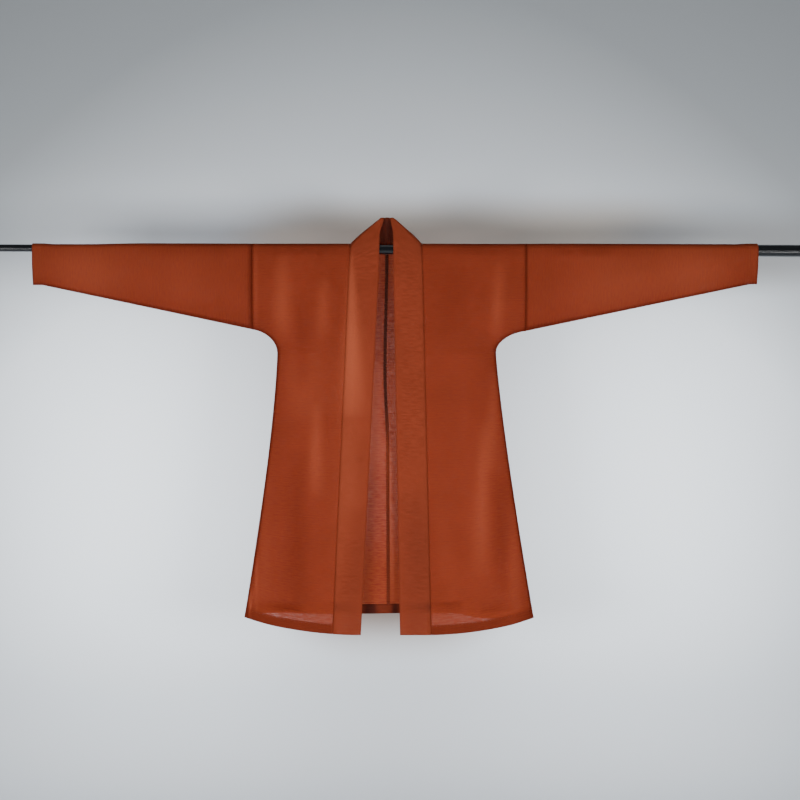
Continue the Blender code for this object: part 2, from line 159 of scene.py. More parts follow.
# Body halves: one length of cloth each, front and back cut in one over the shoulder with
# no seam there. Sheer rust-dyed linen in plain weave, spun with slubs that lie across the
# body. It hangs flat from the rod, and its weight pulls soft folds down from it.
CLOTH = 0.0006              # thickness of one layer
SEAM = 0.0003               # gap between the edges of two pieces that are sewn
SADDLE = 0.0005             # gap between the rod and the cloth over it
STEP_EASES = (0.180, 0.400)     # it climbs to the middle and thick tubes in these lengths,
STEP_MARGIN = 0.003         # and is up this far before the thicker tube starts
LIFT_REACH = (0.350, 0.100)     # the band's seams lift it from here to here
CUFF_TURN = 0.024           # width of the turned-in sleeve end,
CUFF_WALL = 0.0017          # the room that it takes inside the sleeve,
CUFF_EASE = 0.030           # and the length in which the sleeve widens for it
MERGE = 0.00001
CELL = 0.0065               # spacing of the cloth's grid

# Each half, out from the centre line and up from the rod. neck and seam_hem are the ends of
# the collar band's seam, free_neck and free_hem those of its free edge.
Side = namedtuple(
    "Side", "name sign armhole armpit armpit_in hem_side hem_side_z hem_low_x hem_low_z "
            "neck seam_hem free_neck free_hem cuff cuff_low cuff_flat flare lift")
SIDES = {
    "right": Side(
        name="right", sign=-1, armhole=0.340, armpit=-0.2006, armpit_in=0.0625,
        hem_side=0.3600, hem_side_z=-0.9210, hem_low_x=0.0675, hem_low_z=-0.9630,
        neck=0.095, seam_hem=0.1375, free_neck=0.0200, free_hem=0.0675,
        cuff=0.8895, cuff_low=-0.0895, cuff_flat=0.024, flare=1.38, lift=0.0008),
    "left": Side(
        name="left", sign=1, armhole=0.345, armpit=-0.2046, armpit_in=0.0745,
        hem_side=0.3650, hem_side_z=-0.9225, hem_low_x=0.0925, hem_low_z=-0.9630,
        neck=0.085, seam_hem=0.1075, free_neck=0.0125, free_hem=0.0300,
        cuff=0.9240, cuff_low=-0.0875, cuff_flat=0.017, flare=1.20, lift=0.0016),
}
ARMPIT_LOW = -0.2585        # lower end of the curve under each arm
ARMPIT_BOW = 0.62           # 0.5 is a quarter of an ellipse, more is flatter
Station = namedtuple("Station", "x z")
BACK_HEM = [
    Station(-0.3585, -0.9210),
    Station(-0.3150, -0.9125),
    Station(-0.1430, -0.9155),
    Station(0.1500, -0.9130),
    Station(0.2500, -0.9275),
    Station(0.3640, -0.9225),
]
BACK_LOW = -0.9150
HEM_EASE_TOP = -0.350       # rows are level above this, and follow the hem below it
CENTRE_BACK = [
    Station(-0.0030, 0.010),
    Station(-0.0078, -0.310),
    Station(-0.0010, -0.500),
    Station(0.0005, -0.930),
]
HANG_SPREAD = 0.005         # the cloth stands this much further out at the hem
BODY_TAPER = 0.100          # width in which front and back draw together at a side
SLEEVE_TAPER = 0.85         # the same in a sleeve, as a share of its height

# Folds, from top to low: the ten or so that hang from the rod on each face, then the
# shallow creases that handling has left between them
Fold = namedtuple("Fold", "face x_top z_top x_low z_low width rise")
FOLDS = [
    Fold("front", -0.262, -0.030, -0.268, -0.330, 0.026, 0.0035),
    Fold("front", -0.215, -0.040, -0.232, -0.420, 0.030, -0.0030),
    Fold("front", -0.158, -0.060, -0.165, -0.330, 0.022, 0.0025),
    Fold("front", -0.178, -0.380, -0.182, -0.640, 0.024, 0.0035),
    Fold("front", -0.285, -0.450, -0.300, -0.990, 0.030, 0.0045),
    Fold("front", -0.232, -0.480, -0.236, -0.930, 0.028, -0.0050),
    Fold("front", -0.085, -0.080, -0.088, -0.640, 0.030, 0.0045),
    Fold("front", 0.278, -0.040, 0.270, -0.260, 0.018, 0.0030),
    Fold("front", 0.268, -0.280, 0.262, -0.560, 0.022, 0.0035),
    Fold("front", 0.240, -0.420, 0.236, -0.820, 0.024, 0.0040),
    Fold("front", 0.275, -0.560, 0.282, -0.850, 0.022, -0.0040),
    Fold("front", 0.306, -0.640, 0.316, -0.980, 0.022, 0.0040),
    Fold("front", 0.150, -0.300, 0.155, -0.900, 0.034, -0.0025),
    Fold("front", -0.540, -0.030, -0.535, -0.190, 0.030, -0.0020),
    Fold("front", 0.560, -0.030, 0.545, -0.190, 0.050, 0.0025),
    Fold("back", -0.250, -0.060, -0.240, -0.560, 0.030, 0.0035),
    Fold("back", -0.175, -0.180, -0.190, -0.800, 0.032, -0.0035),
    Fold("back", -0.110, -0.420, -0.125, -0.990, 0.032, 0.0040),
    Fold("back", 0.110, -0.120, 0.120, -0.620, 0.034, -0.0030),
    Fold("back", 0.185, -0.300, 0.200, -0.990, 0.034, 0.0045),
    Fold("back", 0.262, -0.080, 0.255, -0.480, 0.026, 0.0030),
    Fold("back", 0.275, -0.520, 0.292, -0.940, 0.028, -0.0040),
    Fold("back", -0.560, -0.030, -0.570, -0.180, 0.040, 0.0020),
    Fold("back", 0.600, -0.030, 0.610, -0.180, 0.040, -0.0020),
]
FOLD_EASE = 0.050           # folds start this far below the rod
FOLD_SWELL = 0.6            # under 1, a fold is soon at its full height from either end

# Light and shade painted into the cloth's colour, along a line from top to low: x, z, half
# width there, and how much lighter (over 0) or darker. Down the fronts and the band first,
# then the sleeves, the armhole seams, the rod's shade on the cloth over it, the back hem's
# shade behind the fronts, the side seams, and last the painted shade and light inside the back.
Fade = namedtuple("Fade", "face x_top z_top x_low z_low width_top width_low tone")
PAINTED_LIGHTS_AND_SHADES = [
    Fade("front", -0.262, -0.015, -0.266, -0.240, 0.018, 0.026, 0.55),
    Fade("front", -0.160, -0.070, -0.165, -0.230, 0.014, 0.018, 0.40),
    Fade("front", -0.178, -0.380, -0.182, -0.620, 0.012, 0.022, 0.50),
    Fade("front", -0.300, -0.440, -0.318, -0.960, 0.014, 0.022, 0.35),
    Fade("front", -0.230, -0.500, -0.225, -0.930, 0.026, 0.040, -0.50),
    Fade("front", -0.215, -0.130, -0.215, -0.360, 0.014, 0.020, -0.30),
    Fade("front", -0.092, 0.000, -0.088, -0.420, 0.004, 0.036, 0.70),
    Fade("front", -0.220, -0.225, -0.220, -0.430, 0.060, 0.060, 0.30),
    Fade("front", -0.095, -0.180, -0.110, -0.900, 0.030, 0.034, 0.20),
    Fade("front", 0.278, -0.030, 0.270, -0.240, 0.014, 0.018, 0.45),
    Fade("front", 0.268, -0.300, 0.258, -0.560, 0.014, 0.022, 0.45),
    Fade("front", 0.240, -0.430, 0.230, -0.820, 0.014, 0.026, 0.45),
    Fade("front", 0.110, -0.560, 0.160, -0.900, 0.020, 0.026, 0.10),
    Fade("front", 0.075, -0.600, 0.070, -0.990, 0.045, 0.045, -0.22),
    Fade("front", -0.080, -0.640, -0.090, -0.990, 0.035, 0.035, -0.20),
    Fade("front", 0.312, -0.640, 0.322, -0.960, 0.012, 0.026, 0.40),
    Fade("front", 0.280, -0.560, 0.284, -0.860, 0.014, 0.018, -0.40),
    Fade("front", 0.160, -0.020, 0.165, -0.240, 0.050, 0.040, -0.20),
    Fade("front", -0.520, 0.010, -0.520, -0.230, 0.110, 0.110, 0.20),
    Fade("front", -0.760, 0.010, -0.770, -0.180, 0.110, 0.110, 0.50),
    Fade("front", 0.560, 0.010, 0.545, -0.240, 0.110, 0.120, 0.35),
    Fade("front", 0.770, 0.010, 0.770, -0.180, 0.120, 0.120, 0.50),
    Fade("front", -0.3425, 0.090, -0.3425, -0.260, 0.0055, 0.0055, -1.10),
    Fade("front", 0.3440, 0.090, 0.3440, -0.260, 0.0045, 0.0045, -0.80),
    Fade("front", -0.3310, 0.060, -0.3310, -0.230, 0.0040, 0.0040, 0.45),
    Fade("back", -0.3425, 0.090, -0.3425, -0.260, 0.0055, 0.0055, -1.00),
    Fade("back", 0.3440, 0.090, 0.3440, -0.260, 0.0045, 0.0045, -1.00),
    Fade("front", -0.2100, 0.032, -0.2100, -0.0165, 0.1100, 0.1100, -0.45),
    Fade("front", 0.2200, 0.030, 0.2200, -0.0180, 0.1100, 0.1100, -0.45),
    Fade("front", -0.4500, 0.034, -0.4500, -0.0130, 0.1000, 0.1000, -0.35),
    Fade("front", 0.5000, 0.030, 0.5000, -0.0180, 0.1200, 0.1200, -0.35),
    Fade("front", -0.2225, -0.880, -0.2225, -0.905, 0.0750, 0.0750, -1.00),
    Fade("front", 0.1900, -0.880, 0.1900, -0.905, 0.0800, 0.0800, -1.10),
    Fade("front", -0.3280, -0.760, -0.3300, -0.920, 0.0035, 0.0035, 0.80),
    Fade("front", -0.3440, -0.790, -0.3460, -0.925, 0.0020, 0.0045, 1.60),
    Fade("back", -0.0400, -0.560, -0.0400, -0.935, 0.0500, 0.0500, -0.50),
    Fade("back", 0.0060, -0.480, 0.0105, -0.888, 0.0030, 0.0040, 1.60),
    Fade("back", -0.0450, -0.885, -0.0450, -0.950, 0.0140, 0.0140, -1.40),
    Fade("back", 0.0180, -0.885, 0.0180, -0.950, 0.0070, 0.0070, -1.40),
    Fade("back", 0.000, 0.090, 0.000, -0.010, 0.050, 0.050, -1.30),
    Fade("back", -0.006, -0.010, -0.006, -0.300, 0.040, 0.040, -1.10),
    Fade("back", -0.003, 0.040, -0.007, -0.480, 0.008, 0.008, -1.50),
    Fade("back", -0.220, -0.060, -0.230, -0.900, 0.030, 0.060, 0.35),
    Fade("back", 0.210, -0.060, 0.225, -0.900, 0.030, 0.060, 0.35),
    Fade("back", -0.055, -0.150, -0.050, -0.560, 0.020, 0.035, 0.60),
    Fade("back", 0.030, -0.150, 0.032, -0.880, 0.016, 0.016, -0.70),
]
LIGHT_SHADE_SWELL = 0.5            # the same for the strength of a painted light or shade
EDGE_SHADES = [(0.0055, -1.40), (0.0400, -0.25)]     # painted shade where front and back meet: width, tone
HEM_TONE = -0.45            # painted shade where a folded layer lies behind the cloth,
CUFF_TONE = 0.10            # and a little painted light on the turned-in cuffs


def lerp(start, end, share):
    """The value a share of the way from start to end."""
    return start + (end - start) * share


def spaced(start, end, cell=CELL):
    """Evenly spaced values from start to end, about a cell apart."""
    count = max(1, round(abs(end - start) / cell))
    return [lerp(start, end, step / count) for step in range(count + 1)]


def ease(share):
    """0 to 1 with a soft start and end."""
    share = min(1.0, max(0.0, share))
    return share * share * (3 - 2 * share)


def along_stations(stations, key, value):
    """Read a short table of (x, z) rows at a place, easing between its rows."""
    rows = sorted(stations, key=lambda row: getattr(row, key))
    other = "z" if key == "x" else "x"
    if value <= getattr(rows[0], key):
        return getattr(rows[0], other)
    for before, after in zip(rows, rows[1:]):
        low, high = getattr(before, key), getattr(after, key)
        if value <= high:
            share = ease((value - low) / (high - low))
            return lerp(getattr(before, other), getattr(after, other), share)
    return getattr(rows[-1], other)


def axis_z(x):
    """Height of the rod's axis."""
    return -ROD_FALL * x


def saddle_radius(x):
    """Inner radius of the cloth over the rod, with ramps at the rod's steps and cuffs."""
    radius = TUBES[0].diameter / 2 + SADDLE
    for thinner, thicker, length in zip(TUBES, TUBES[1:], STEP_EASES):
        climb = (x - thicker.start + STEP_MARGIN + length) / length
        radius += (thicker.diameter - thinner.diameter) / 2 * ease(climb)
    side = SIDES["right"] if x < 0 else SIDES["left"]
    near_cuff = (abs(x) - side.cuff + CUFF_TURN + CUFF_EASE) / CUFF_EASE
    near_neck = (LIFT_REACH[0] - abs(x)) / (LIFT_REACH[0] - LIFT_REACH[1])
    return radius + CUFF_WALL * ease(near_cuff) + side.lift * ease(near_neck)


def over_rod(x, angle, inset=0.0):
    """A point of the cloth over the rod: angle 0 is the front, 180 degrees the back."""
    radius = saddle_radius(x) - inset
    return (x, -radius * math.cos(angle), axis_z(x) + radius * math.sin(angle))


def sleeve_low(side, out):
    """Height of a sleeve's lower edge: straight, with a short level stretch at the cuff."""
    level_from = side.cuff - side.cuff_flat
    return lerp(side.armpit, side.cuff_low,
                min(1.0, (out - side.armhole) / (level_from - side.armhole)))


def outline(side, z):
    """How far out the body reaches: armhole seam, curve under the arm, flared side."""
    if z >= side.armpit:
        return side.armhole - SEAM / 2
    if z >= ARMPIT_LOW:
        rise = (z - ARMPIT_LOW) / (side.armpit - ARMPIT_LOW)
        return side.armhole - SEAM / 2 - side.armpit_in * (1 - rise * rise) ** ARMPIT_BOW
    share = (ARMPIT_LOW - z) / (ARMPIT_LOW - side.hem_side_z)
    under_arm = side.armhole - SEAM / 2 - side.armpit_in
    return lerp(under_arm, side.hem_side, share ** side.flare)


def edge_distance(side, out, z):
    """Distance from a point of the cloth to the edge where front and back meet."""
    drop = side.armpit - ARMPIT_LOW
    if z <= ARMPIT_LOW:
        return outline(side, z) - out
    if out >= side.armhole:
        return z - sleeve_low(side, out)
    across = (side.armhole - out) / side.armpit_in
    up = (z - ARMPIT_LOW) / drop
    scale = (across * side.armpit_in + up * drop) / (across + up)
    return (math.sqrt(across ** (1 / ARMPIT_BOW) + up * up) - 1) * scale


def fold_relief(face, x, z):
    """Height of the folds over the plain hanging cloth."""
    total = 0.0
    for fold in FOLDS:
        share = (fold.z_top - z) / (fold.z_top - fold.z_low)
        if fold.face == face and 0 < share < 1:
            centre = lerp(fold.x_top, fold.x_low, share)
            across = math.exp(-((x - centre) / fold.width) ** 2)
            total += fold.rise * across * math.sin(math.pi * share) ** FOLD_SWELL
    return total * ease((axis_z(x) - z) / FOLD_EASE)


def half_depth(face, side, out, z, foot=SEAM / 2):
    """Distance of the cloth's inner face from the plane of the rod's axis."""
    x = side.sign * out
    sleeve_taper = -SLEEVE_TAPER * sleeve_low(side, max(out, side.armhole))
    taper = BODY_TAPER if z < side.armpit else min(BODY_TAPER, sleeve_taper)
    nearness = min(1.0, max(0.0, edge_distance(side, out, z)) / taper)
    fullness = math.sin(math.pi / 2 * nearness)
    hang = HANG_SPREAD * ease(z / side.hem_low_z)
    return foot + (saddle_radius(x) - foot + hang + fold_relief(face, x, z)) * fullness


def front_hem_z(side, out):
    """Lower edge of the front, a shallow curve that rises to the side seam."""
    share = max(0.0, (out - side.hem_low_x) / (side.hem_side - side.hem_low_x))
    return lerp(side.hem_low_z, side.hem_side_z, share * share)


def hem_height(face, side, out, level):
    """Turns a level row into one that follows the hem, more so the lower it lies."""
    if face == "front":
        low, hem = side.hem_low_z, front_hem_z(side, out)
    else:
        low, hem = BACK_LOW, along_stations(BACK_HEM, "x", side.sign * out)
    return level + (hem - low) * ease((HEM_EASE_TOP - level) / (HEM_EASE_TOP - low))


def seam_line(side, z):
    """Seam of the collar band on the front."""
    return lerp(side.neck, side.seam_hem, min(1.0, max(0.0, z / side.hem_low_z)))


def body_out(face, side, column, level):
    """How far out a column of the body lies at a level."""
    edge = outline(side, hem_height(face, side, side.hem_side, level))
    if face == "front":
        return lerp(edge, seam_line(side, level) + SEAM / 2, column)
    if column <= 1:
        return lerp(edge, side.neck, column)
    centre = side.sign * along_stations(CENTRE_BACK, "z", level) + SEAM / 2
    return lerp(side.neck, centre, column - 1)


NECK_ANGLE = math.radians(162)      # the back neck seam lies this far round the rod
OVER_ROD = [math.radians(6 * step) for step in range(31)]
TOP_LEVEL = -0.006          # first row of the grid below the rod
LOWER_LEVELS = spaced(-0.2650, -0.8850)     # rows between the armpit and the hem
BODY_COLUMNS = spaced(0.0, 1.0, 1 / 42)     # 0 is the side, 1 the band's or the neck's seam,
BACK_COLUMNS = spaced(1.0, 2.0, 1 / 14)[1:]     # and 2 the centre back
HEM_TURN = 0.024            # height of the turned-up hems
HEM_STEPS = 4               # rows of the grid in it


def body_point(side, column, row, inset=0.0):
    """A point of half the body. A row is a face and a level, or an angle over the rod."""
    part, value = row
    if part == "over":
        if column > 1 and value < NECK_ANGLE - MERGE:
            return None
        inner = side.neck + SEAM / 2
        out = lerp(side.armhole - SEAM / 2, inner, min(column, 1.0))
        if column > 1:
            out = body_out("back", side, column, 0.0)
        return over_rod(side.sign * out, value, inset)
    if part == "front" and column > 1:
        return None
    out = body_out(part, side, column, value)
    z = hem_height(part, side, out, value)
    depth = half_depth(part, side, out, z) - inset
    return (side.sign * out, -depth if part == "front" else depth, z)


def armpit_levels(side):
    """Rows down the curve under the arm, closer where it is flatter."""
    drop = side.armpit - ARMPIT_LOW
    return [ARMPIT_LOW + drop * math.cos(math.radians(angle)) for angle in range(9, 91, 9)]


def body_rows(side):
    """Rows of half the body, from the front hem over the rod to the back hem."""
    upper = spaced(TOP_LEVEL, side.armpit) + armpit_levels(side) + LOWER_LEVELS
    front = upper + spaced(side.hem_low_z + 2 * HEM_TURN, side.hem_low_z, HEM_TURN / HEM_STEPS)
    back = upper + spaced(BACK_LOW + HEM_TURN, BACK_LOW, HEM_TURN / HEM_STEPS)
    rows = [("front", level) for level in reversed(front)]
    rows += [("over", angle) for angle in OVER_ROD]
    return rows + [("back", level) for level in back]


def painted_light_shade_at(point):
    """Sum of the painted light and shade at a point of the cloth."""
    x, y, z = point
    side = SIDES["right"] if x < 0 else SIDES["left"]
    face, total = "front" if y < 0 else "back", 0.0
    if abs(x) > side.cuff - CUFF_TURN + MERGE:
        total = CUFF_TONE
    elif (face == "front" and abs(x) > side.seam_hem
          and z < front_hem_z(side, abs(x)) + HEM_TURN):
        total = HEM_TONE
    for width, tone in EDGE_SHADES:
        total += tone * math.exp(-(edge_distance(side, abs(x), z) / width) ** 2)
    for painted_light_and_shade in PAINTED_LIGHTS_AND_SHADES:
        share = (painted_light_and_shade.z_top - z) / (painted_light_and_shade.z_top - painted_light_and_shade.z_low)
        if painted_light_and_shade.face == face and 0 < share < 1:
            centre = lerp(painted_light_and_shade.x_top, painted_light_and_shade.x_low, share)
            width = lerp(painted_light_and_shade.width_top, painted_light_and_shade.width_low, share)
            soft = math.sin(math.pi * share) ** LIGHT_SHADE_SWELL
            total += painted_light_and_shade.tone * math.exp(-((x - centre) / width) ** 2) * soft
    return total


def outwards(side, columns):
    """Columns in the order of growing x, so that every sheet faces outwards."""
    return columns if side.sign < 0 else columns[::-1]


def add_object(name, data):
    """A new object in the scene."""
    thing = bpy.data.objects.new(name, data)
    bpy.context.scene.collection.objects.link(thing)
    return thing


def cloth_shell(name, points, cut, wall=CLOTH, inwards=False):
    """A thin closed shell of cloth through a grid of points.

    cut gives each point its place on the flat cloth in metres, across and along.
    """
    mesh = bpy.data.meshes.new(name)
    bm = bmesh.new()
    bmesh.ops.create_grid(bm, x_segments=len(points[0]) - 1, y_segments=len(points) - 1,
                          size=0.5)
    bm.verts.ensure_lookup_table()
    flat = bm.loops.layers.uv.new("cut")
    across = len(points[0])
    for face in bm.faces:
        for loop in face.loops:
            loop[flat].uv = cut[loop.vert.index // across][loop.vert.index % across]
    left_out = []
    for index, vert in enumerate(bm.verts):
        point = points[index // across][index % across]
        if point is None:
            left_out.append(vert)
        else:
            vert.co = point
    bmesh.ops.delete(bm, geom=left_out, context="VERTS")
    bmesh.ops.remove_doubles(bm, verts=bm.verts, dist=MERGE)
    bm.to_mesh(mesh)
    bm.free()
    mesh.shade_smooth()
    # the light and shade painted on each point, kept as an attribute
    tones = mesh.attributes.new("painted_light_and_shade", "FLOAT", "POINT")
    tones.data.foreach_set("value", [painted_light_shade_at(vert.co) for vert in mesh.vertices])
    piece = add_object(name, mesh)
    thicken = piece.modifiers.new("cloth", "SOLIDIFY")
    thicken.thickness = wall
    thicken.offset = -1.0 if inwards else 1.0
    thicken.use_even_offset = True
    return piece


def run_lengths(points):
    """Length from the first point to each, along a row or column of points."""
    total, lengths, last = 0.0, [], None
    for point in points:
        if point is not None and last is not None:
            total += math.dist(point, last)
        lengths.append(total)
        last = point or last
    return lengths


# Sheer rust linen, hand-spun and dyed in the piece: matt and dry, darker where a slub is
# thick, and lit from behind where the thread is thin.
RUST = "8a3922"
RUST_DEEP = "79301a"
# the lighter rust of painted light; below it, the darker one of painted shade
RUST_PAINTED_LIGHT = "a45034"
RUST_SHADED = "62200d"
RUST_GLOW = "ff7a3c"        # light that has come through thin thread
RUST_DIM = "a83a1c"         # and through a slub
RUST_SHEEN = "d88a68"
TURNED, TURNED_DEEP, TURNED_SHADED = "6c2712", "541c0b", "3a1006"   # layers shade each other
SLUB_LENGTH = 0.018
SLUB_HEIGHT = 0.0032        # slubs of 1 mm, drawn coarser so that they show
THREAD_PITCH = 0.0011       # threads of 0.5 mm, drawn coarser too
DYE_PATCH = 0.090
PICK_SHARE = 0.35           # of a slub's strength that runs on along its whole thread
SLUB_SHARE, END_SHARE = 0.80, 0.20      # thickness that each way of the weave gives,
WEAVE_SHARE = 0.15          # and the height of its crossings


def maths(tree, operation, *values):
    """The socket of one step of arithmetic on numbers and sockets."""
    return add_node(tree, "Math", dict(enumerate(values)), operation=operation).outputs[0]


def linen(name, coverage, glow, light=RUST, deep=RUST_DEEP, shaded=RUST_SHADED):
    """Sheer rust linen. coverage is the share of each face that thread fills."""
    material, tree = blank_material(name)
    cut = add_node(tree, "UVMap", {}, uv_map="cut").outputs[0]
    split = add_node(tree, "SeparateXYZ", {"Vector": cut})
    pick = add_node(tree, "TexNoise", {
        "W": split.outputs[1], "Scale": 1 / SLUB_HEIGHT, "Detail": 1.0}, noise_dimensions="1D")
    slub_at = add_node(tree, "Mapping", {
        "Vector": cut, "Scale": (1 / SLUB_LENGTH, 1 / SLUB_HEIGHT, 1)})
    swell = add_node(tree, "TexNoise", {
        "Vector": slub_at.outputs[0], "Scale": 1.0, "Detail": 2.0, "Roughness": 0.6},
        noise_dimensions="2D")
    slubs = maths(tree, "MULTIPLY_ADD", pick.outputs["Fac"], PICK_SHARE, swell.outputs["Fac"])
    ends_at = add_node(tree, "Mapping", {
        "Vector": cut, "Scale": (1 / SLUB_HEIGHT, 1 / (2 * SLUB_LENGTH), 1)})
    ends = add_node(tree, "TexNoise", {
        "Vector": ends_at.outputs[0], "Scale": 1.0, "Detail": 1.0}, noise_dimensions="2D")
    dye = add_node(tree, "TexNoise", {
        "Vector": cut, "Scale": 1 / DYE_PATCH, "Detail": 3.0}, noise_dimensions="2D")
    thick = ramp(tree, slubs, 0.49, 0.86)
    yarn = maths(tree, "MULTIPLY", ends.outputs["Fac"], END_SHARE)
    yarn = maths(tree, "MULTIPLY_ADD", thick, SLUB_SHARE, yarn)
    warp, weft = [maths(tree, "SINE", maths(tree, "MULTIPLY", split.outputs[axis],
                                            2 * math.pi / THREAD_PITCH)) for axis in (0, 1)]
    weave = maths(tree, "MULTIPLY", warp, weft)
    height = maths(tree, "MULTIPLY_ADD", weave, WEAVE_SHARE, yarn)
    relief = add_node(tree, "Bump", {"Height": height, "Strength": 0.20, "Distance": 0.0004})
    tone = maths(tree, "ADD", dye.outputs["Fac"], yarn)
    colour = mixed(tree, ramp(tree, tone, 0.40, 1.60), linear(deep), linear(light))
    # Light and shade painted into the colour: the lighter rust where the attribute is over 0, the
    # shaded colour where it is under
    painted_light_and_shade = add_node(tree, "Attribute", {}, attribute_name="painted_light_and_shade").outputs["Fac"]
    colour = mixed(tree, ramp(tree, painted_light_and_shade, 0.0, 1.0), colour, linear(RUST_PAINTED_LIGHT))
    colour = mixed(tree, ramp(tree, painted_light_and_shade, 0.0, -1.0), colour, linear(shaded))
    thread = add_node(tree, "BsdfPrincipled", {
        "Base Color": colour, "Roughness": 0.85, "Normal": relief.outputs[0],
        "Specular IOR Level": 0.15, "Sheen Weight": 0.06, "Sheen Roughness": 0.5,
        "Sheen Tint": linear(RUST_SHEEN)})
    lit = mixed(tree, yarn, linear(RUST_GLOW), linear(RUST_DIM))
    through = add_node(tree, "BsdfTranslucent", {"Color": lit, "Normal": relief.outputs[0]})
    yarn_shader = add_node(tree, "MixShader", {
        0: glow, 1: thread.outputs[0], 2: through.outputs[0]})
    fill = ramp(tree, yarn, 0.25, 0.75, coverage - 0.07, min(1.0, coverage + 0.07))
    gaps = add_node(tree, "BsdfTransparent", {"Color": (1.0, 1.0, 1.0, 1.0)})
    cloth = add_node(tree, "MixShader", {
        0: fill, 1: gaps.outputs[0], 2: yarn_shader.outputs[0]})
    add_node(tree, "OutputMaterial", {"Surface": cloth.outputs[0]})
    return material


rust_linen = linen("rust_linen_plain_weave", 0.80, 0.34)
turned_linen = linen("rust_linen_turned", 0.97, 0.05, TURNED, TURNED_DEEP, TURNED_SHADED)


def finish_cloth(piece, material, node):
    """Gives a piece of cloth its linen, and its place on the jacket."""
    piece.data.materials.append(material)
    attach(piece, "root")
    if node:
        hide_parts(node)


def build_body(side):
    """Half the body in one piece, laid out on its cut by its run down the band's seam."""
    columns = outwards(side, BODY_COLUMNS + BACK_COLUMNS)
    rows = body_rows(side)
    points = [[body_point(side, column, row) for column in columns] for row in rows]
    middle = columns.index(1.0)
    along = run_lengths([row[middle] for row in points])
    cut = [[(side.sign * body_out("back", side, column, 0.0) if point is None else point[0],
             along[index]) for column, point in zip(columns, row)]
           for index, row in enumerate(points)]
    return cloth_shell("body_" + side.name + "_cloth", points, cut)


for half in SIDES.values():
    body = build_body(half)
    finish_cloth(body, rust_linen, "body_" + half.name)


# Sleeves: one tapered piece each, folded over the rod and closed by a seam below. The
# same linen, turned a quarter, so its slubs run round the arm.
SLEEVE_FOOT = 0.0008        # half width of a sleeve's lower edge, inside
SLEEVE_FRACTIONS = spaced(0.0, 1.0, 1 / 16)[:-1]
FOOT_CLEAR = 0.0012         # room for the cloth below that edge


def sleeve_section(side, out, inset=0.0, foot=SLEEVE_FOOT, foot_rise=0.0):
    """Points round a sleeve at one place, from its foot up the front and down the back."""
    x = side.sign * out
    base = sleeve_low(side, out) + SLEEVE_FOOT + FOOT_CLEAR + foot_rise
    half = {}
    for face in ("front", "back"):
        half[face] = []
        for fraction in SLEEVE_FRACTIONS:
            z = lerp(base, axis_z(x), fraction)
            depth = half_depth(face, side, out, z, SLEEVE_FOOT) - inset
            half[face].append((max(depth, foot), z))
    section = [(x, 0.0, base - foot)]
    section += [(x, -depth, z) for depth, z in half["front"]]
    section += [over_rod(x, angle, inset) for angle in OVER_ROD]
    section += [(x, depth, z) for depth, z in reversed(half["back"])]
    return section + [section[0]]


def build_tube(name, side, stations, inset=0.0, foot=SLEEVE_FOOT, foot_rise=0.0,
               inwards=False):
    """A tube of cloth through the sections of a sleeve."""
    places = outwards(side, sorted(stations, reverse=True))
    sections = [sleeve_section(side, out, inset, foot, foot_rise) for out in places]
    top = len(sections[0]) // 2
    rounds = [run_lengths(section) for section in sections]
    points = [[section[row] for section in sections] for row in range(len(sections[0]))]
    cut = [[(lengths[row] - lengths[top], side.sign * out)
            for out, lengths in zip(places, rounds)] for row in range(len(sections[0]))]
    return cloth_shell(name, points, cut, CLOTH, inwards)


for half in SIDES.values():
    root = half.armhole + SEAM / 2
    sleeve = build_tube("sleeve_" + half.name + "_cloth", half, spaced(root, half.cuff))
    finish_cloth(sleeve, rust_linen, "sleeve_" + half.name)
    girth = run_lengths(sleeve_section(half, root))[-1]


# Turned-in sleeve ends: 24 mm of the sleeve's own cloth, folded inside and caught down by
# hand, which doubles the cloth and darkens the cuff.
CUFF_INSET = 0.0005         # the turned end lies this far inside the sleeve
CUFF_FOOT = 0.0022          # half width of its lower edge,
CUFF_FOOT_RISE = 0.0090     # which lies this much above the sleeve's

for half in SIDES.values():
    turned = build_tube("cuff_hem_" + half.name + "_cloth", half,
                        spaced(half.cuff - CUFF_TURN, half.cuff, CUFF_TURN / HEM_STEPS),
                        CUFF_INSET, CUFF_FOOT, CUFF_FOOT_RISE, inwards=True)
    finish_cloth(turned, turned_linen, "cuff_hem_" + half.name)


# Turned-up hems: 24 mm of each panel folded up inside and slip-stitched. The front hems
# end at the collar band; the back hem runs in one length across the centre-back seam.
HEM_COLUMNS = BODY_COLUMNS[1:]


def hem_rows(face, low):
    """Rows of a turned-up hem, from its edge up to its fold."""
    levels = spaced(low, low + HEM_TURN, HEM_TURN / HEM_STEPS)
    return [(face, level) for level in levels]


def hem_shell(name, columns, rows):
    """A hem along (side, column) pairs, laid inside its panel."""
    points = [[body_point(*column, row, SEAM) for column in columns] for row in rows]
    cut = [[(point[0], -point[2]) for point in row] for row in points]
    return cloth_shell(name, points, cut, CLOTH, inwards=True)


for half in SIDES.values():
    hem = hem_shell("front_hem_" + half.name + "_cloth",
                    [(half, column) for column in outwards(half, HEM_COLUMNS)],
                    hem_rows("front", half.hem_low_z))
    finish_cloth(hem, turned_linen, "front_hem_" + half.name)

shares = HEM_COLUMNS + BACK_COLUMNS
back_columns = [(SIDES["right"], share) for share in shares[:-1]]
back_columns += [(SIDES["left"], share) for share in reversed(shares)]
back_hem = hem_shell("back_hem_cloth", back_columns, hem_rows("back", BACK_LOW)[::-1])
finish_cloth(back_hem, turned_linen, "back_hem")


# Centre-back seam: the two allowances pressed to one side and felled flat, three layers
# in a strip 8 mm wide that reads as a dark line down the sheer back.
CENTRE_SEAM_WIDTH = 0.008
CENTRE_SEAM_STEP = 0.002    # spacing of its grid across
CENTRE_SEAM_TOP = -0.012
FELLED_SHADED = "330f05"


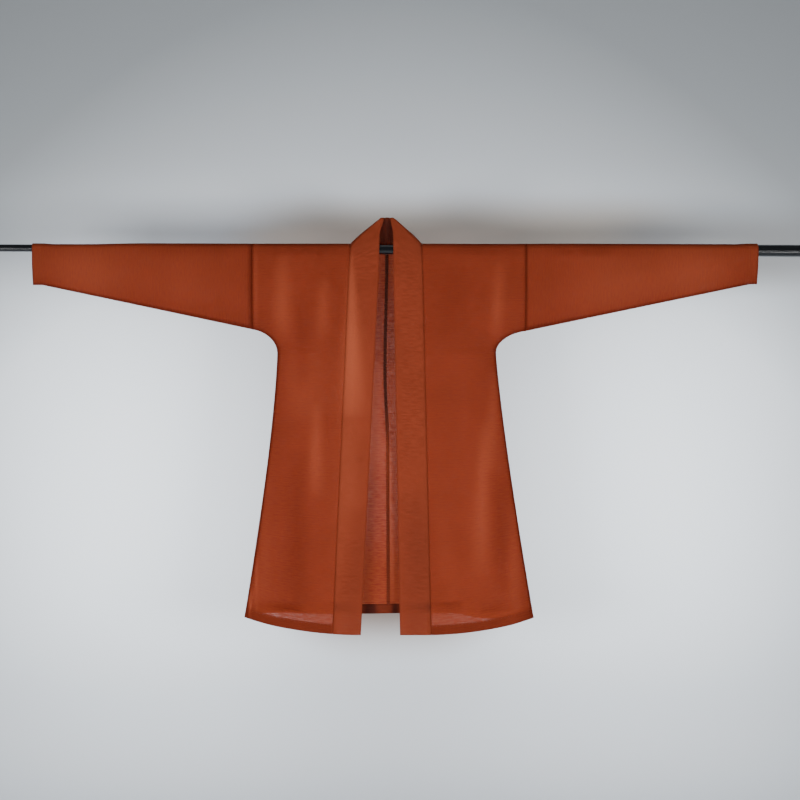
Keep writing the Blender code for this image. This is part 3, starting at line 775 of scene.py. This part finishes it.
def centre_seam_point(offset, level):
    """A point of the strip, this far from its middle, inside the back."""
    side = SIDES["left"]
    out = along_stations(CENTRE_BACK, "z", level) + offset
    z = hem_height("back", side, out, level)
    return (out, half_depth("back", side, out, z) - SEAM, z)


offsets = spaced(CENTRE_SEAM_WIDTH / 2, -CENTRE_SEAM_WIDTH / 2, CENTRE_SEAM_STEP)
levels = spaced(BACK_LOW + HEM_TURN + SEAM, CENTRE_SEAM_TOP)
points = [[centre_seam_point(offset, level) for offset in offsets] for level in levels]
centre_seam = cloth_shell("centre_back_seam_cloth", points,
                          [[(p[0], -p[2]) for p in row] for row in points], inwards=True)
# Its darker colours are painted shade: of its own layers, and of the inside of the back
felled_linen = linen("rust_linen_felled", 0.98, 0.03, TURNED, TURNED_DEEP, FELLED_SHADED)
finish_cloth(centre_seam, felled_linen, "centre_back_seam")


# Seam allowances: the raw edges inside, trimmed narrow and pressed flat. They are the same
# linen, two layers more, and show through the sheer cloth as darker lines at each armhole,
# at the band's seams and all along the lower edge of the sleeves and the sides.
ALLOWANCE = 0.0003          # an allowance's layers, pressed
ROD_INSET = ALLOWANCE / 3   # how far inside the cloth it lies over the rod
ARMHOLE_IN, ARMHOLE_OUT = 0.0025, 0.0055    # widths to each side of its seam
ARMHOLE_STEP, ARMHOLE_TOP = 0.0025, -0.008
EDGE_CLEAR, EDGE_WIDTH = 0.0008, 0.0048     # from the lower edge in, from here to here
EDGE_END = 0.010            # it stops this far from the turned-in cuff
EDGE_RESUME = -0.8900       # its rows go on from here to the hem
BAND_SEAM_IN, BAND_SEAM_OUT = 0.0020, 0.0100
BAND_SEAM_STEP, BAND_SEAM_TOP, BAND_SEAM_FOOT = 0.003, -0.012, 0.002
STRIP_STEP = 0.002          # spacing of a strip's columns on the flat cloth
HEM_CLEAR = 0.0012          # it climbs this much over the turned-up hem


def armhole_points(side, face):
    """A strip each side of the armhole seam, on one face, from the armpit to the rod."""
    toward = -1 if face == "front" else 1
    outs = spaced(side.armhole + ARMHOLE_OUT, side.armhole - ARMHOLE_IN, ARMHOLE_STEP)
    rows = []
    for z in spaced(side.armpit + EDGE_WIDTH, ARMHOLE_TOP):
        rows.append([(side.sign * out, toward * (half_depth(face, side, out, z) - SEAM), z)
                     for out in outs])
    for angle in OVER_ROD:
        if angle <= math.pi / 2 + MERGE:
            turn = angle if face == "front" else math.pi - angle
            rows.append([over_rod(side.sign * out, turn, ROD_INSET) for out in outs])
    return rows


def edge_path(side):
    """The lower edge of a sleeve and on down the side, as (out, z) points."""
    sleeve = [(out, sleeve_low(side, out) + FOOT_CLEAR)
              for out in spaced(side.cuff - CUFF_TURN - EDGE_END, side.armhole)]
    levels = armpit_levels(side) + LOWER_LEVELS
    levels += spaced(EDGE_RESUME, side.hem_side_z + HEM_TURN)
    return sleeve + [(outline(side, z), z) for z in levels]


def edge_points(side):
    """A strip just inside that edge, in the plane where front and back meet."""
    path = edge_path(side)
    rows = []
    for index, (out, z) in enumerate(path):
        before, after = path[max(index - 1, 0)], path[min(index + 1, len(path) - 1)]
        run = Vector((after[0] - before[0], after[1] - before[1])).normalized()
        inward = Vector((run.y, -run.x))
        row = []
        for reach in (EDGE_CLEAR, (EDGE_CLEAR + EDGE_WIDTH) / 2, EDGE_WIDTH):
            row.append((side.sign * (out + inward.x * reach), 0.0, z + inward.y * reach))
        rows.append(row)
    return rows


def band_seam_points(side):
    """A strip behind the seam of the collar band, from the hem up to the rod."""
    reaches = spaced(BAND_SEAM_IN, -BAND_SEAM_OUT, BAND_SEAM_STEP)
    rows = []
    for level in spaced(side.hem_low_z + BAND_SEAM_FOOT, BAND_SEAM_TOP):
        row = []
        inset = SEAM + HEM_CLEAR * ease((side.hem_low_z + 2 * HEM_TURN - level) / HEM_TURN)
        for reach in reaches:
            out = seam_line(side, level) + reach
            z = hem_height("front", side, out, level)
            row.append((side.sign * out, inset - half_depth("front", side, out, z), z))
        rows.append(row)
    for angle in OVER_ROD:
        if angle < NECK_ANGLE - MERGE:
            rows.append([over_rod(side.sign * (side.neck + reach), angle, ROD_INSET)
                         for reach in reaches])
    return rows


for half in SIDES.values():
    strips = {
        "armhole_front_" + half.name: armhole_points(half, "front"),
        "armhole_back_" + half.name: armhole_points(half, "back"),
        "side_seam_" + half.name: edge_points(half),
        "band_seam_" + half.name: band_seam_points(half),
    }
    for name, points in strips.items():
        run = run_lengths([row[0] for row in points])
        cut = [[(STRIP_STEP * at, along) for at in range(len(points[0]))] for along in run]
        strip = cloth_shell(name + "_allowance", points, cut, ALLOWANCE, inwards=True)
        finish_cloth(strip, felled_linen, None)


# Collar band: one straight strip 145 mm wide, folded double lengthwise, with its open
# edges sewn to the fronts and the back neck. It stands up round the neck, and folds over
# at each side of it.
DOUBLED, DOUBLED_DEEP, DOUBLED_SHADED = "82351f", "712d18", "330f07"
BAND_CLOTH = 0.0012         # two layers of it
BAND_WIDTH = 0.070
BAND_TURN = -0.060          # the band starts to lean over towards the neck here
BAND_TOP = 0.0800
NAPE_RISE = 0.0010          # the band stands this much higher behind the neck
BAND_FOLD = 0.004           # inner radius of the fold at the free edge
BAND_UPRIGHT = 0.25         # share of its rise in which the band stands upright
CLOSE_FROM = 0.035          # above this its free edges roll together,
CLOSE_CURVE = 4.0           # only they do at first, and the whole width by the top
NeckTop = namedtuple("NeckTop", "close corner")
NECK_TOP = {                # by how much they do, and where the slanting fold turns level
    "right": NeckTop(0.0095, 0.0175),
    "left": NeckTop(0.0065, 0.0140),
}
BAND_NECK_GAP = 0.0015      # its seam stands this far inside the shoulder's edge
BAND_ANGLE = math.radians(159.5)    # and ends this far round the rod
BAND_COLUMNS = spaced(0.0, 1.0, 1 / 12)
TURN_STEPS = spaced(0.0, 1.0, 1 / 18)[1:-1]
NECK_STEPS = spaced(0.0, 1.0, 1 / 24)[1:-1]


def free_line(side, z):
    """Free edge of the collar band."""
    return lerp(side.free_neck, side.free_hem, min(1.0, max(0.0, z / side.hem_low_z)))


def band_front_row(side, level):
    """Points across the band at a level of the front."""
    row = []
    for column in BAND_COLUMNS:
        out = lerp(seam_line(side, level) - SEAM / 2, free_line(side, level), column)
        z = hem_height("front", side, out, level)
        row.append((side.sign * out, -half_depth("front", side, out, z), z))
    return row


def rolled(side, column, free_z):
    """How far in a column has rolled, and its share of the rise, near the top of the neck."""
    top = NECK_TOP[side.name]
    near = ease((free_z - CLOSE_FROM) / (BAND_TOP - CLOSE_FROM))
    run = side.neck - BAND_NECK_GAP - top.corner
    stretch = (run + top.corner - side.free_neck + top.close) / run
    share = min(1.0, column * lerp(1.0, stretch, near))
    return top.close * near * column ** lerp(CLOSE_CURVE, 1.0, near), share


def lean(rise):
    """How far the band has leant over at a share of its rise above the rod's axis."""
    return max(0.0, (rise - BAND_UPRIGHT) / (1 - BAND_UPRIGHT))


def band_half(side):
    """Rows of the band from one hem up the front and over its fold at the neck."""
    levels = spaced(side.hem_low_z, LOWER_LEVELS[-1], HEM_TURN / HEM_STEPS)[:-1]
    levels += LOWER_LEVELS[::-1] + armpit_levels(side)[::-1]
    levels += spaced(side.armpit, BAND_TURN)[:-1]
    rows = [band_front_row(side, level) for level in levels + [BAND_TURN]]
    seam_low = seam_line(side, BAND_TURN) - SEAM / 2
    seam_top = side.neck - BAND_NECK_GAP
    free_low = free_line(side, BAND_TURN)
    radius, seat = saddle_radius(side.sign * seam_top), axis_z(side.sign * seam_top)
    fold_z = BAND_TOP - BAND_CLOTH - BAND_FOLD
    for step in TURN_STEPS:
        seam_z, free_z = lerp(BAND_TURN, seat, step), lerp(BAND_TURN, fold_z, step)
        row = []
        for column in BAND_COLUMNS:
            inward, share = rolled(side, column, free_z)
            out = lerp(lerp(seam_low, seam_top, step), lerp(free_low, side.free_neck, step),
                       column) - inward
            z = lerp(seam_z, free_z, share)
            depth = lerp(radius, BAND_FOLD, lean((z - seat) / (fold_z - seat)))
            row.append((side.sign * out, -depth, z))
        rows.append(row)
    for angle in OVER_ROD:
        row = []
        for column in BAND_COLUMNS:
            inward, share = rolled(side, column, BAND_TOP)
            turn = angle * lerp(BAND_ANGLE / math.pi, 1.0, column)
            reach = lerp(radius, BAND_FOLD, lean(share))
            rise = math.sin(turn)
            if turn > math.pi / 2:
                rise = lerp(rise, 1.0, lean(share))
            out = lerp(seam_top, side.free_neck, column) - inward
            row.append((side.sign * out, -reach * math.cos(turn),
                        lerp(seat, fold_z, share) + reach * rise))
        rows.append(row)
    return rows


def band_neck_row(step):
    """Points up the band behind the neck, a share of the way from right to left."""
    right, left = SIDES["right"], SIDES["left"]
    seam_x = lerp(BAND_NECK_GAP - right.neck, left.neck - BAND_NECK_GAP, step)
    free_x = lerp(NECK_TOP["right"].close - right.free_neck,
                  left.free_neck - NECK_TOP["left"].close, step)
    side = right if step < 0.5 else left
    shares = [lerp(column, rolled(side, column, BAND_TOP)[1], abs(2 * step - 1))
              for column in BAND_COLUMNS]
    _, seam_y, seam_z = over_rod(seam_x, BAND_ANGLE)
    free_z = BAND_TOP + NAPE_RISE - (BAND_CLOTH + NAPE_RISE) * abs(2 * step - 1) ** 2
    return [(lerp(seam_x, free_x, column), lerp(seam_y, BAND_FOLD, lean(share)),
             lerp(seam_z, free_z, share)) for column, share in zip(BAND_COLUMNS, shares)]


band_rows = band_half(SIDES["right"]) + [band_neck_row(step) for step in NECK_STEPS]
band_rows += band_half(SIDES["left"])[::-1]
band_along = run_lengths([row[0] for row in band_rows])
band = cloth_shell("collar_band_cloth", band_rows,
                   [[(BAND_WIDTH * column, along) for column in BAND_COLUMNS]
                    for along in band_along], BAND_CLOTH)
band.modifiers["cloth"].use_even_offset = False     # it would spike at the fold's corners
doubled_linen = linen("rust_linen_doubled", 0.94, 0.20, DOUBLED, DOUBLED_DEEP, DOUBLED_SHADED)
finish_cloth(band, doubled_linen, "collar_band")


# Hand stitches: rust cotton thread, two-ply, that catches the folded edges down. Each stitch
# on the face is a prick about 1 mm long between threads of the cloth, drawn longer to show.
STITCH_LENGTH = 0.0022
STITCH_THICK = 0.0005
HEM_PITCH = 0.009
FELL_PITCH = 0.006
PLY_TWIST = 0.0008          # length of one turn of the thread's two plies
WAVE_BANDS = 3.2            # bands that a wave texture of scale 1 draws in a metre
THREAD_RUST, THREAD_DEEP = "a3542f", "6d2c15"

bpy.ops.object.select_all(action="DESELECT")
bpy.ops.mesh.primitive_uv_sphere_add(segments=6, ring_count=6, radius=STITCH_THICK / 2)
stitch = bpy.context.object
bpy.ops.object.mode_set(mode="EDIT")
bpy.ops.mesh.select_all(action="SELECT")
bpy.ops.transform.resize(value=(1, 1, STITCH_LENGTH / STITCH_THICK))
bpy.ops.mesh.select_all(action="DESELECT")
bpy.ops.object.mode_set(mode="OBJECT")
stitch_mesh = stitch.data
bpy.data.objects.remove(stitch)


def sewing_thread():
    """Dyed two-ply cotton: soft, matt, with its twist running round it."""
    material, tree = blank_material("rust_two_ply_cotton_thread")
    place = add_node(tree, "TexCoord", {}).outputs["Object"]
    twist_at = add_node(tree, "Mapping", {
        "Vector": place, "Rotation": (0.0, math.radians(40), 0.0)})
    twist = add_node(tree, "TexWave", {
        "Vector": twist_at.outputs[0], "Scale": 1 / PLY_TWIST / WAVE_BANDS, "Distortion": 0.5})
    colour = mixed(tree, twist.outputs["Fac"], linear(THREAD_DEEP), linear(THREAD_RUST))
    plies = add_node(tree, "Bump", {
        "Height": twist.outputs["Fac"], "Strength": 0.5, "Distance": 0.0001})
    shader = add_node(tree, "BsdfPrincipled", {
        "Base Color": colour, "Normal": plies.outputs[0], "Roughness": 0.8,
        "Sheen Weight": 0.2, "Sheen Roughness": 0.5})
    add_node(tree, "OutputMaterial", {"Surface": shader.outputs[0]})
    return material


thread = sewing_thread()


def sew_row(name, path, pitch):
    """Stitches along a path of points, each lying along it."""
    lengths = run_lengths(path)
    bm = bmesh.new()
    step = 0
    for at in spaced(pitch / 2, lengths[-1] - pitch / 2, pitch):
        while lengths[step + 1] < at:
            step += 1
        start, end = Vector(path[step]), Vector(path[step + 1])
        share = (at - lengths[step]) / (lengths[step + 1] - lengths[step])
        turn = (end - start).to_track_quat("Z", "Y").to_matrix().to_4x4()
        fresh = len(bm.verts)
        bm.from_mesh(stitch_mesh)
        bm.verts.ensure_lookup_table()
        bmesh.ops.transform(bm, matrix=turn, verts=bm.verts[fresh:])
        bmesh.ops.translate(bm, vec=start.lerp(end, share), verts=bm.verts[fresh:])
    mesh = bpy.data.meshes.new(name)
    bm.to_mesh(mesh)
    bm.free()
    mesh.shade_smooth()
    row = add_object(name, mesh)
    row.data.materials.append(thread)
    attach(row, "root")


OUTSIDE = -CLOTH            # on the face of the cloth, not inside it
FOLD_IN = 0.0020            # stitches lie this far inside a hem's folded edge,
FELL_IN = 0.0010            # and the felling's this far inside the strip's edges

for half in SIDES.values():
    level = half.hem_low_z + HEM_TURN - FOLD_IN
    path = [body_point(half, column, ("front", level), OUTSIDE) for column in HEM_COLUMNS]
    sew_row("front_hem_stitches_" + half.name, path, HEM_PITCH)
    ring = sleeve_section(half, half.cuff - CUFF_TURN + FOLD_IN, OUTSIDE)
    sew_row("cuff_stitches_" + half.name, ring[2:-2], HEM_PITCH)

level = BACK_LOW + HEM_TURN - FOLD_IN
path = [body_point(*column, ("back", level), OUTSIDE) for column in back_columns]
sew_row("back_hem_stitches", path, HEM_PITCH)
for name, offset in (("right", -1), ("left", 1)):
    path = []
    for level in levels:
        x, depth, z = centre_seam_point(offset * (CENTRE_SEAM_WIDTH / 2 - FELL_IN), level)
        path.append((x, depth - CLOTH, z))
    sew_row("felling_stitches_" + name, path, FELL_PITCH)


# Studio: a pale grey painted wall a short way behind, coved into a pale floor, and large
# soft boxes low in front.
WALL_Y = 0.42
WALL_HALF, WALL_TOP = 6.0, 3.0
FLOOR_Z = -1.50
COVE = 0.30                 # radius of the cove between wall and floor
WALL_GREY = "c2c8ce"
WALL_DIM = "9a9fa3"         # the upper corners fall into shade,
DIM_FROM, DIM_FULL = 0.20, 0.80     # between these heights at the middle,
DIM_SPREAD = 0.45           # and lower by this times the square of x
AIR_GREY, AIR_LIGHT = "e4e8ee", 0.15
Shade = namedtuple("Shade", "x_low x_high z_low z_high reach_x reach_z colour")
WALL_SHADES = [             # the jacket's own soft shade on the paint: behind the open front,
    Shade(-0.08, 0.10, -0.957, -0.85, 0.28, 0.167, "8b8079"),
    Shade(-0.15, 0.60, 0.00, 0.10, 0.35, 0.12, "b4afa8"),   # above the shoulders,
    Shade(0.80, 1.05, 0.00, 0.08, 0.30, 0.10, "9b9d9f"),    # above the left sleeve,
    Shade(-0.22, 0.12, 0.00, 0.08, 0.28, 0.05, "d6cfc6"),   # and lit again close to the cloth
]


def soft_shade(tree, split, grey, shade):
    """Mix a shade's colour into the paint: full inside its box, gone at its reach."""
    aways = []
    for axis, low, high, reach in ((0, shade.x_low, shade.x_high, shade.reach_x),
                                   (2, shade.z_low, shade.z_high, shade.reach_z)):
        off = maths(tree, "SUBTRACT", split.outputs[axis], (low + high) / 2)
        off = maths(tree, "ABSOLUTE", off)
        aways.append(ramp(tree, off, (high - low) / 2, (high - low) / 2 + reach))
    away = add_node(tree, "CombineXYZ", {0: aways[0], 1: aways[1]})
    away = add_node(tree, "VectorMath", {0: away.outputs[0]}, operation="LENGTH")
    near = add_node(tree, "MapRange", {
        "Value": away.outputs["Value"], "To Min": 1.0, "To Max": 0.0},
        interpolation_type="SMOOTHSTEP")
    return mixed(tree, near.outputs[0], grey, linear(shade.colour))


def painted_wall():
    """Matt emulsion, pale grey, dimmer towards its upper corners. Clear from behind."""
    material, tree = blank_material("matt_pale_grey_paint")
    split = add_node(tree, "SeparateXYZ", {
        "Vector": add_node(tree, "TexCoord", {}).outputs["Object"]})
    aside = maths(tree, "POWER", split.outputs[0], 2.0)
    upper = maths(tree, "MULTIPLY_ADD", aside, DIM_SPREAD, split.outputs[2])
    dim = ramp(tree, upper, DIM_FROM, DIM_FULL)
    grey = mixed(tree, dim, linear(WALL_GREY), linear(WALL_DIM))
    for shade in WALL_SHADES:
        grey = soft_shade(tree, split, grey, shade)
    paint = add_node(tree, "BsdfPrincipled", {
        "Base Color": grey, "Roughness": 0.9, "Specular IOR Level": 0.2})
    clear = add_node(tree, "BsdfTransparent", {})
    side = add_node(tree, "NewGeometry", {})
    surface = add_node(tree, "MixShader", {
        0: side.outputs["Backfacing"], 1: paint.outputs[0], 2: clear.outputs[0]})
    add_node(tree, "OutputMaterial", {"Surface": surface.outputs[0]})
    return material


profile = [(-WALL_HALF, FLOOR_Z), (WALL_Y - COVE, FLOOR_Z)]
profile += [(WALL_Y - COVE + COVE * math.sin(math.radians(a)),
             FLOOR_Z + COVE - COVE * math.cos(math.radians(a))) for a in range(10, 100, 10)]
profile += [(WALL_Y, WALL_TOP)]
sweep = bpy.data.meshes.new("studio_cove")
verts = [(x, y, z) for x in (-WALL_HALF, WALL_HALF) for y, z in profile]
count = len(profile)
sweep.from_pydata(verts, [], [(i, i + count, i + count + 1, i + 1) for i in range(count - 1)])
sweep.shade_smooth()
cove = add_object("studio_cove", sweep)
cove.data.materials.append(painted_wall())

world = bpy.data.worlds.new("soft_studio")
world.use_nodes = True
world.node_tree.nodes["Background"].inputs[0].default_value = linear(AIR_GREY)
world.node_tree.nodes["Background"].inputs[1].default_value = AIR_LIGHT
bpy.context.scene.world = world


def soft_box(name, place, aim, size, power, spread=180):
    """A rectangular soft box at a place, turned towards a point, with a grid of a spread."""
    light = bpy.data.lights.new(name, "AREA")
    light.shape = "RECTANGLE"
    light.size, light.size_y = size
    light.energy = power
    light.spread = math.radians(spread)
    lamp = add_object(name, light)
    lamp.location = place
    lamp.visible_camera = False
    lamp.rotation_euler = (Vector(aim) - Vector(place)).to_track_quat("-Z", "Y").to_euler()
    return lamp


# Two gridded boxes light the cloth, two washes light the wall close behind it, and two
# weak strips draw the rod's highlights.
soft_box("soft_box_left", (-1.5, -2.4, -0.75), (-0.1, 0, -0.60), (1.3, 0.64), 36.5, 120)
soft_box("soft_box_right", (1.5, -2.4, -0.75), (0.1, 0, -0.60), (1.3, 0.64), 35.5, 120)
soft_box("wall_wash_left", (-0.72, 0.05, -0.60), (-0.72, 0.42, -0.60), (0.8, 1.0), 7.7)
soft_box("wall_wash_right", (0.72, 0.05, -0.60), (0.72, 0.42, -0.60), (0.8, 1.0), 7.4)
soft_box("strip_above", (0.0, -0.10, 1.60), (0.0, 0.0, 0.0), (0.60, 0.20), 0.08, 90)
soft_box("strip_below", (0.0, -1.60, -1.20), (0.0, 0.0, 0.0), (0.60, 0.20), 0.4, 90)

# The camera stands square to the wall, a little above the middle of the jacket.
camera = add_object("camera", bpy.data.cameras.new("camera"))
camera.location = (0.030, -3.608, -0.377)
camera.rotation_euler = (math.radians(90), 0, 0)
camera.data.sensor_width = 36.0
camera.data.lens = 64.8
bpy.context.scene.camera = camera
